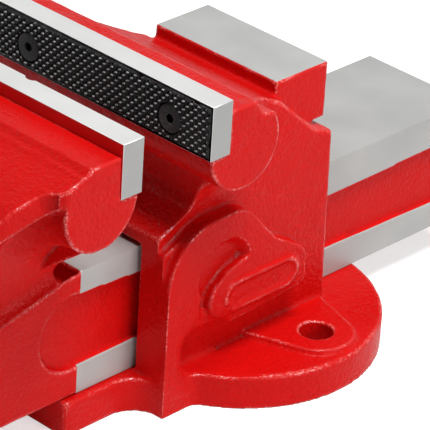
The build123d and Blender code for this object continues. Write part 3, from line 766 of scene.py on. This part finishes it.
nut_iron = make_plain_steel(
    "nut_iron", light=colour(0.30, 0.29, 0.28), dark=colour(0.20, 0.19, 0.18), roughness=0.45, stretch=ALONG_Y
)
spring_steel = make_plain_steel(
    "spring_steel", light=colour(0.34, 0.34, 0.36), dark=colour(0.24, 0.24, 0.26),
    roughness=0.3, stretch=ROUND_AXIS,
)


# Castings

def positions_of(mesh):
    places = np.empty(len(mesh.vertices) * 3, dtype=np.float32)
    mesh.vertices.foreach_get("co", places)
    return places.reshape(-1, 3)


def normals_of(mesh):
    normals = np.empty(len(mesh.vertices) * 3, dtype=np.float32)
    mesh.vertex_normals.foreach_get("vector", normals)
    return normals.reshape(-1, 3)


def move_to(piece, places):
    piece.data.vertices.foreach_set("co", places.ravel())
    piece.data.update()


def inside(places, boxes):
    """Which places lie in any of the boxes, the left side counted as the right."""
    found = np.zeros(len(places), dtype=bool)
    folded_places = places.copy()
    folded_places[:, X_AXIS] = np.abs(folded_places[:, X_AXIS])
    for low, high in boxes:
        found |= np.all((folded_places > np.array(low)) & (folded_places < np.array(high)), axis=1)
    return found


def soften(piece, rounds, group=""):
    """Smooth the piece, or only one of its vertex groups."""
    smooth = piece.modifiers.new("soften", "SMOOTH")
    smooth.factor = SOFTEN_FACTOR
    smooth.iterations = rounds
    smooth.vertex_group = group
    settle(piece)


def ease(piece, box):
    """Smooth the part of the surface inside a box, the same on both sides."""
    chosen = piece.vertex_groups.new(name="eased")
    chosen.add([int(i) for i in np.nonzero(inside(positions_of(piece.data), [box]))[0]], 1.0, "REPLACE")
    soften(piece, EASE_ROUNDS, "eased")
    piece.vertex_groups.clear()


def mark_ridges(piece):
    """Store how far each point stands out from a smoothed copy: above 0 on ridges, below 0 in valleys."""
    before = positions_of(piece.data)
    calm = show(piece.data.copy(), "calm")
    soften(calm, RIDGE_ROUNDS)
    stands_out = np.einsum("ij,ij->i", before - positions_of(calm.data), normals_of(piece.data))
    bpy.data.objects.remove(calm)
    ridge = piece.data.attributes.new("ridge", "FLOAT", "POINT")
    ridge.data.foreach_set("value", np.clip(stands_out / RIDGE_FULL, -1.0, 1.0).astype(np.float32))


def roughen(piece, ground):
    """Sink painted points by soft lumps, as sand leaves them, and leave ground zones true."""
    places = positions_of(piece.data)
    painted = ~inside(places, ground)
    depth = np.zeros(len(places), dtype=np.float32)
    for i in np.nonzero(painted)[0]:
        lump = noise.noise(Vector(places[i]) / LUMP_SIZE)
        depth[i] = LUMP_DEPTH * min(max(LUMP_MIDDLE + lump, 0.0), 1.0)
    move_to(piece, places - normals_of(piece.data) * depth[:, None])


def true_up(piece, planes):
    """Set points near a ground plane exactly on it."""
    places = positions_of(piece.data)
    before = places.copy()
    for axis, height, box, reach in planes:
        near = inside(before, [box]) & (np.abs(np.abs(before[:, axis]) - abs(height)) < reach)
        places[near, axis] = np.sign(before[near, axis]) * abs(height)
    move_to(piece, places)


def shade_casting(piece, planes):
    """Smooth shading, except on faces that lie in a ground plane."""
    places = positions_of(piece.data)
    in_plane = np.array([
        inside(places, [box]) & (np.abs(np.abs(places[:, axis]) - abs(height)) < ON_PLANE)
        for axis, height, box, _ in planes
    ])
    for face in piece.data.polygons:
        face.use_smooth = not in_plane[:, list(face.vertices)].all(axis=1).any()


def make_casting(node, body, material, ground, planes, eased=None):
    """Cast surface of a CAD body: edges rounded and skin lumpy as a casting's is, ground faces true."""
    piece = copy_of_node(node, f"{node}_skin")
    remesh = piece.modifiers.new("remesh", "REMESH")
    remesh.mode = "VOXEL"
    remesh.voxel_size = VOXEL
    soften(piece, SOFTEN_ROUNDS)
    if eased:
        ease(piece, eased)
    mark_ridges(piece)
    roughen(piece, ground)
    true_up(piece, planes)
    triangles = 2 * len(piece.data.polygons)
    if triangles > CASTING_TRIANGLES:
        thin = piece.modifiers.new("thin", "DECIMATE")
        thin.ratio = CASTING_TRIANGLES / triangles
        settle(piece)
    shade_casting(piece, planes)
    dress(piece, material)
    hand_in(piece, body, "red_painted_casting", node)


make_casting("body_casting", "body", body_finish, BODY_GROUND, BODY_PLANES, RIB_FOOT)
make_casting("moving_jaw_casting", "moving_jaw", jaw_finish, SLIDE_GROUND, SLIDE_PLANES)


# Serrated jaw plates

def distance_of(tree, x, z):
    """Straight distance from its two sides."""
    squares = reckon(tree, "ADD", reckon(tree, "POWER", x, 2.0), reckon(tree, "POWER", z, 2.0))
    return reckon(tree, "SQRT", squares)


def make_serration_tree():
    """Rows of four-sided teeth on a slanted grid, pointing along -Y, clear of the screw holes."""
    tree = bpy.data.node_groups.new("serration", "GeometryNodeTree")
    tree.interface.new_socket("Teeth", in_out="OUTPUT", socket_type="NodeSocketGeometry")
    for label, kind in (
        ("Count", "NodeSocketInt"), ("Step Down", VECTOR), ("Step Up", VECTOR), ("Half Width", NUMBER),
        ("Half Height", NUMBER), ("Screw X", NUMBER), ("Screw Z", NUMBER), ("Screw Clear", NUMBER),
        ("Tooth", "NodeSocketObject"), ("Tooth Size", VECTOR), ("Tooth Turn", VECTOR),
        ("Finish", "NodeSocketMaterial"),
    ):
        tree.interface.new_socket(label, in_out="INPUT", socket_type=kind)
    given = tree.nodes.new("NodeGroupInput").outputs
    span = reckon(tree, "SUBTRACT", given["Count"], 1.0)
    grid = add_node(
        tree, "GeometryNodeMeshGrid",
        {"Size X": span, "Size Y": span, "Vertices X": given["Count"], "Vertices Y": given["Count"]},
    )
    position = tree.nodes.new("GeometryNodeInputPosition").outputs[0]
    steps = add_node(tree, "ShaderNodeSeparateXYZ", {0: position}).outputs
    down, up = (
        add_node(tree, "ShaderNodeVectorMath", {0: given[step], "Scale": count}, operation="SCALE").outputs[0]
        for step, count in (("Step Down", steps[0]), ("Step Up", steps[1]))
    )
    spot = reckon_vector(tree, "ADD", down, up)
    laid = add_node(tree, "GeometryNodeSetPosition", {"Geometry": grid.outputs[0], "Position": spot})
    across = reckon(tree, "ABSOLUTE", steps[0])
    upward = steps[2]
    too_wide = reckon(tree, "GREATER_THAN", across, given["Half Width"])
    too_high = reckon(tree, "GREATER_THAN", reckon(tree, "ABSOLUTE", upward), given["Half Height"])
    from_screw_x = reckon(tree, "SUBTRACT", across, given["Screw X"])
    from_screw_z = reckon(tree, "SUBTRACT", upward, given["Screw Z"])
    from_screw = distance_of(tree, from_screw_x, from_screw_z)
    over_screw = reckon(tree, "LESS_THAN", from_screw, given["Screw Clear"])
    unwanted = reckon(tree, "MAXIMUM", reckon(tree, "MAXIMUM", too_wide, too_high), over_screw)
    kept = add_node(tree, "GeometryNodeDeleteGeometry", {"Geometry": laid.outputs[0], "Selection": unwanted})
    shape = add_node(tree, "GeometryNodeObjectInfo", {"Object": given["Tooth"]})
    tooth = add_node(tree, "GeometryNodeTransform", {
        "Geometry": shape.outputs["Geometry"], "Scale": given["Tooth Size"], "Rotation": given["Tooth Turn"],
    })
    placed = add_node(
        tree, "GeometryNodeInstanceOnPoints", {"Points": kept.outputs[0], "Instance": tooth.outputs[0]}
    )
    real = add_node(tree, "GeometryNodeRealizeInstances", {"Geometry": placed.outputs[0]})
    finished = add_node(
        tree, "GeometryNodeSetMaterial", {"Geometry": real.outputs[0], "Material": given["Finish"]}
    )
    tree.links.new(finished.outputs[0], tree.nodes.new("NodeGroupOutput").inputs[0])
    return tree


def run_tree(name, tree, values):
    """Evaluate a geometry tree with its inputs set, and keep the result as a plain mesh."""
    piece = show(bpy.data.meshes.new(name), name)
    made = piece.modifiers.new("shape", "NODES")
    made.node_group = tree
    for socket in tree.interface.items_tree:
        if socket.in_out == "INPUT":
            made[socket.identifier] = values[socket.name]
    return settle(piece)


def skin_rings(build, rings):
    """Faces between rings of points, and one at each end."""
    for lower, upper in zip(rings, rings[1:]):
        for k in range(len(lower)):
            following = (k + 1) % len(lower)
            build.faces.new((lower[k], lower[following], upper[following], upper[k]))
    build.faces.new(rings[0])
    build.faces.new(rings[-1])
    bmesh.ops.recalc_face_normals(build, faces=build.faces)


def make_tooth():
    """One tooth of unit size: a rhombus at its root, rounding off towards its crest."""
    build = bmesh.new()
    rings = []
    for height, reach, power in TOOTH_RINGS:
        ring = []
        for k in range(TOOTH_SIDES):
            angle = 2 * math.pi * k / TOOTH_SIDES
            across, along = math.cos(angle), math.sin(angle)
            radius = reach / (abs(across) ** power + abs(along) ** power) ** (1 / power)
            ring.append(build.verts.new((radius * across, radius * along, height)))
        rings.append(ring)
    skin_rings(build, rings)
    return show_build(build, "tooth")


SERRATION = make_serration_tree()
tooth = make_tooth()


def facing(outward):
    """Turn that carries +Z to outward Y."""
    return Matrix.Rotation(-outward * math.pi / 2, 4, "X")


def add_teeth(plate, node, low, high, face_y, outward):
    """Union the teeth with a plate, cut back to a slope at its rim."""
    middle_z = (low.z + high.z) / 2
    root_y = face_y - outward * TOOTH_HEIGHT
    teeth = run_tree(f"{node}_teeth", SERRATION, {
        "Count": TOOTH_COUNT, "Step Down": TOOTH_STEP_DOWN, "Step Up": TOOTH_STEP_UP,
        "Half Width": PLATE_HALF + TOOTH_HALF_WIDTH, "Half Height": (high.z - low.z) / 2 + TOOTH_HALF_WIDTH,
        "Screw X": PLATE_SCREW_X, "Screw Z": high.z - PLATE_SCREW_DROP - middle_z,
        "Screw Clear": PLATE_HOLE_R - TOOTH_HALF_WIDTH,
        "Tooth": tooth, "Tooth Size": (TOOTH_HALF_LENGTH, TOOTH_HALF_WIDTH, TOOTH_HEIGHT),
        "Tooth Turn": (math.pi / 2, -TOOTH_TURN, 0.0), "Finish": tooth_black,
    })
    side = Matrix.Rotation(0 if outward < 0 else math.pi, 4, "Z")
    teeth.data.transform(Matrix.Translation((0, root_y, middle_z)) @ side)
    rim_y = sorted((root_y - outward * MM, face_y + outward * MM))
    limit = box_piece("limit", (low.x, rim_y[0], low.z), (high.x, rim_y[1], high.z))
    for point in limit.data.vertices:
        inset = MM + PLATE_CHAMFER + outward * (point.co.y - root_y)
        point.co.x -= math.copysign(inset, point.co.x)
        point.co.z -= math.copysign(inset, point.co.z - middle_z)
    cut_away(teeth, limit, "INTERSECT")
    cut_away(plate, teeth, "UNION")


def finish_of(face, low, high, face_y, outward):
    """Which finish a face of a jaw plate has."""
    centre, normal = face.center, face.normal
    from_front = abs(centre.y - face_y)
    across = abs(centre.x) < PLATE_HALF - PLATE_EDGE
    within = low.z + PLATE_EDGE < centre.z < high.z - PLATE_EDGE
    screw_spot = Vector((PLATE_SCREW_X, high.z - PLATE_SCREW_DROP))
    in_hole = (Vector((abs(centre.x), centre.z)) - screw_spot).length < PLATE_HOLE_R
    if normal.y * outward < -SQUARE_ON and from_front > BACK_DEPTH:
        return ON_BACK
    if across and within and (from_front < TEETH_DEPTH or in_hole):
        # Painted highlight: upward-leaning faces near the crest take the bright glint finish
        upper = GLINT_SLOPE_LOW < normal.z < GLINT_SLOPE_HIGH and normal.x * outward > GLINT_LEAN
        return ON_PAINTED_GLINT if upper and from_front < GLINT_DEPTH and not in_hole else ON_TEETH
    return ON_SHADED_END if abs(normal.x) > SQUARE_ON else ON_TOP


def make_jaw_plate(node, body, face_y, outward):
    """Plate with ground top and ends, and a black serrated face that points along outward Y."""
    low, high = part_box(node)
    root_y = face_y - outward * TOOTH_HEIGHT
    if outward < 0:
        low.y = root_y
    else:
        high.y = root_y
    plate = box_piece(f"{node}_serrated", low, high, PLATE_CHAMFER)
    add_teeth(plate, node, low, high, face_y, outward)
    cone_foot = -PLATE_HOLE_RIM - PLATE_HOLE_R + PLATE_SHANK_R
    profile = [
        (0, MM), (PLATE_HOLE_R, MM), (PLATE_HOLE_R, -PLATE_HOLE_RIM), (PLATE_SHANK_R, cone_foot),
        (PLATE_SHANK_R, -PLATE_HOLE_DEPTH), (0, -PLATE_HOLE_DEPTH),
    ]
    for x in (-PLATE_SCREW_X, PLATE_SCREW_X):
        place = (x, face_y, high.z - PLATE_SCREW_DROP)
        cut_away(plate, turned("countersink", profile, ROUND_STEPS, place, facing(outward)))
    if node == "moving_jaw_plate":
        place = (0, face_y + outward * (UPRIGHT_R - UPRIGHT_DEPTH), 0)
        profile = [(0, UPRIGHT_FOOT), (UPRIGHT_R, UPRIGHT_FOOT), (UPRIGHT_R, UPRIGHT_HEAD), (0, UPRIGHT_HEAD)]
        cut_away(plate, turned("upright_groove", profile, UPRIGHT_STEPS, place, Matrix()))
    dress(plate, plate_steel, tooth_black, back_red_painted_light, shaded_plate_end_steel, tooth_painted_glint)
    for face in plate.data.polygons:
        face.material_index = finish_of(face, low, high, face_y, outward)
    smooth_by_angle(plate, PLATE_SHARP)
    hand_in(plate, body, "jaw_plate_steel", node)


def make_plate_screw(node, body, face_y, outward):
    """Countersunk screw with a hexagon socket and a rounded rim."""
    low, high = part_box(node)
    length = high.y - low.y
    place = ((low.x + high.x) / 2, face_y - outward * PLATE_HEAD_SINK, (low.z + high.z) / 2)
    turn = facing(outward)
    cone_foot = -PLATE_HEAD_RIM - (PLATE_HEAD_R - PLATE_SHANK_R)
    profile = [(0, 0), *((PLATE_HEAD_R - inward, -down) for inward, down in PLATE_HEAD_EASE)]
    profile += [
        (PLATE_HEAD_R, -PLATE_HEAD_RIM), (PLATE_SHANK_R - SHANK_CLEAR, cone_foot),
        (PLATE_SHANK_R - SHANK_CLEAR, SHANK_TIP - length), (PLATE_SHANK_R - SHANK_TIP, -length), (0, -length),
    ]
    screw = turned(f"{node}_detailed", profile, ROUND_STEPS, place, turn)
    socket = [
        (0, SOCKET_OVERCUT), (SOCKET_R, SOCKET_OVERCUT), (SOCKET_R, -SOCKET_DEPTH),
        (0, -SOCKET_DEPTH - SOCKET_POINT),
    ]
    cut_away(screw, turned("socket", socket, SOCKET_SIDES, place, turn))
    mouth = [
        (0, MOUTH_EASE), (SOCKET_R + MOUTH_EASE, MOUTH_EASE), (SOCKET_R - MOUTH_EASE, -MOUTH_DEPTH),
        (0, -MOUTH_DEPTH),
    ]
    cut_away(screw, turned("mouth", mouth, ROUND_STEPS, place, turn))
    dress(screw, plate_screw_black)
    smooth_by_angle(screw, PLATE_SCREW_SHARP)
    hand_in(screw, body, "black_steel", node)


for jaw, body, face_y, outward in (
    ("fixed", "body", FIXED_FACE_Y, -1), ("moving", "moving_jaw", MOVING_FACE_Y, 1),
):
    make_jaw_plate(f"{jaw}_jaw_plate", body, face_y, outward)
    for hand in ("left", "right"):
        make_plate_screw(f"{jaw}_plate_screw_{hand}", body, face_y, outward)

bpy.data.objects.remove(tooth)


# Main screw

def make_thread_groove(start_y, end_y):
    """Helical bar of trapezoid section, to be cut from the screw."""
    section = [
        (THREAD_R + THREAD_OVERCUT, -THREAD_MOUTH), (THREAD_ROOT_R, -THREAD_FLOOR),
        (THREAD_ROOT_R, THREAD_FLOOR), (THREAD_R + THREAD_OVERCUT, THREAD_MOUTH),
    ]
    build = bmesh.new()
    rings = []
    for k in range(int((end_y - start_y) / THREAD_LEAD * THREAD_STEPS) + 1):
        angle = 2 * math.pi * k / THREAD_STEPS
        y = start_y + THREAD_LEAD * k / THREAD_STEPS
        rings.append([
            build.verts.new((radius * math.cos(angle), y + aside, SCREW_Z - radius * math.sin(angle)))
            for radius, aside in section
        ])
    skin_rings(build, rings)
    return show_build(build, "thread_groove")


main_screw = copy_of_node("main_screw", "main_screw_threaded")
cut_away(main_screw, make_thread_groove(THREAD_FRONT_Y, SCREW_BACK_Y + THREAD_LEAD))
dress(main_screw, screw_steel)
smooth_by_angle(main_screw, THREAD_SHARP)
hand_in(main_screw, "screw", "screw_steel", "main_screw")

# Pieces shown as their CAD nodes are
for material, names in (
    (nut_iron, ["main_nut"]),
    (spring_steel, ["thrust_spring"]),
    (bar_steel, ["tommy_bar", "bar_knob_left", "bar_knob_right"]),
    (zinc, ["thrust_washer", "spring_washer", "split_pin", "nut_bolt_front", "nut_bolt_back",
            "nut_washer_front", "nut_washer_back"]),
):
    for name in names:
        dress(nodes[name], material)


# Camera, floor and light

def make_camera():
    back = Vector((
        math.sin(CAMERA_AZIMUTH) * math.cos(CAMERA_ELEVATION),
        -math.cos(CAMERA_AZIMUTH) * math.cos(CAMERA_ELEVATION),
        math.sin(CAMERA_ELEVATION),
    ))
    level = Vector((math.cos(CAMERA_AZIMUTH), math.sin(CAMERA_AZIMUTH), 0))
    above = back.cross(level)
    right = level * math.cos(CAMERA_ROLL) + above * math.sin(CAMERA_ROLL)
    up = above * math.cos(CAMERA_ROLL) - level * math.sin(CAMERA_ROLL)
    lens = bpy.data.cameras.new("camera")
    lens.sensor_width = CAMERA_SENSOR
    lens.lens = CAMERA_LENS
    camera = bpy.data.objects.new("camera", lens)
    camera.matrix_world = Matrix.Translation(CAMERA_PLACE) @ Matrix((right, up, back)).transposed().to_4x4()
    bpy.context.scene.collection.objects.link(camera)
    bpy.context.scene.camera = camera


def make_floor():
    """Pale floor, a little lit from inside: twice for the camera, and not at all in reflections."""
    build = bmesh.new()
    bmesh.ops.create_grid(build, x_segments=1, y_segments=1, size=FLOOR_SIZE)
    floor = show_build(build, "floor")
    made, tree, shader, position = new_material("floor_white")
    path = tree.nodes.new("ShaderNodeLightPath").outputs
    lift = reckon(tree, "MULTIPLY_ADD", path["Is Glossy Ray"], -FLOOR_LIFT, FLOOR_LIFT)
    feed_all(tree, shader, {
        "Base Color": blend_colour(tree, noise_of(tree, position, FLOOR_CLOUDS), FLOOR_DARK, FLOOR_LIGHT),
        "Roughness": FLOOR_ROUGHNESS,
        "Specular IOR Level": FLOOR_SHINE,
        "Emission Color": WHITE,
        "Emission Strength": reckon(tree, "MULTIPLY_ADD", path["Is Camera Ray"], FLOOR_LIFT, lift),
    })
    dress(floor, made)


def make_softbox(name, place, side, power):
    lamp = bpy.data.lights.new(name, "AREA")
    lamp.shape = "RECTANGLE"
    lamp.size = side
    lamp.size_y = side
    lamp.energy = power
    softbox = bpy.data.objects.new(name, lamp)
    softbox.location = place
    softbox.rotation_mode = "QUATERNION"
    softbox.rotation_quaternion = (Vector(AIM) - Vector(place)).to_track_quat("-Z", "Y")
    bpy.context.scene.collection.objects.link(softbox)


def make_world():
    """Soft even light, and plain white for what the camera and the reflections see."""
    world = bpy.data.worlds.new("studio")
    bpy.context.scene.world = world
    world.use_nodes = True
    tree = world.node_tree
    tree.nodes.clear()
    path = tree.nodes.new("ShaderNodeLightPath").outputs
    seen = reckon(tree, "MAXIMUM", path["Is Camera Ray"], path["Is Glossy Ray"])
    seen = reckon(tree, "MAXIMUM", seen, path["Is Transmission Ray"])
    strength = reckon(tree, "MULTIPLY_ADD", seen, 1.0 - SKY_LIGHT, SKY_LIGHT)
    light = add_node(tree, "ShaderNodeBackground", {"Color": WHITE, "Strength": strength})
    output = tree.nodes.new("ShaderNodeOutputWorld")
    tree.links.new(light.outputs[0], output.inputs["Surface"])


make_camera()
make_floor()
make_world()
for lamp in LAMPS:
    make_softbox(*lamp)

bpy.context.scene.view_settings.view_transform = "Standard"
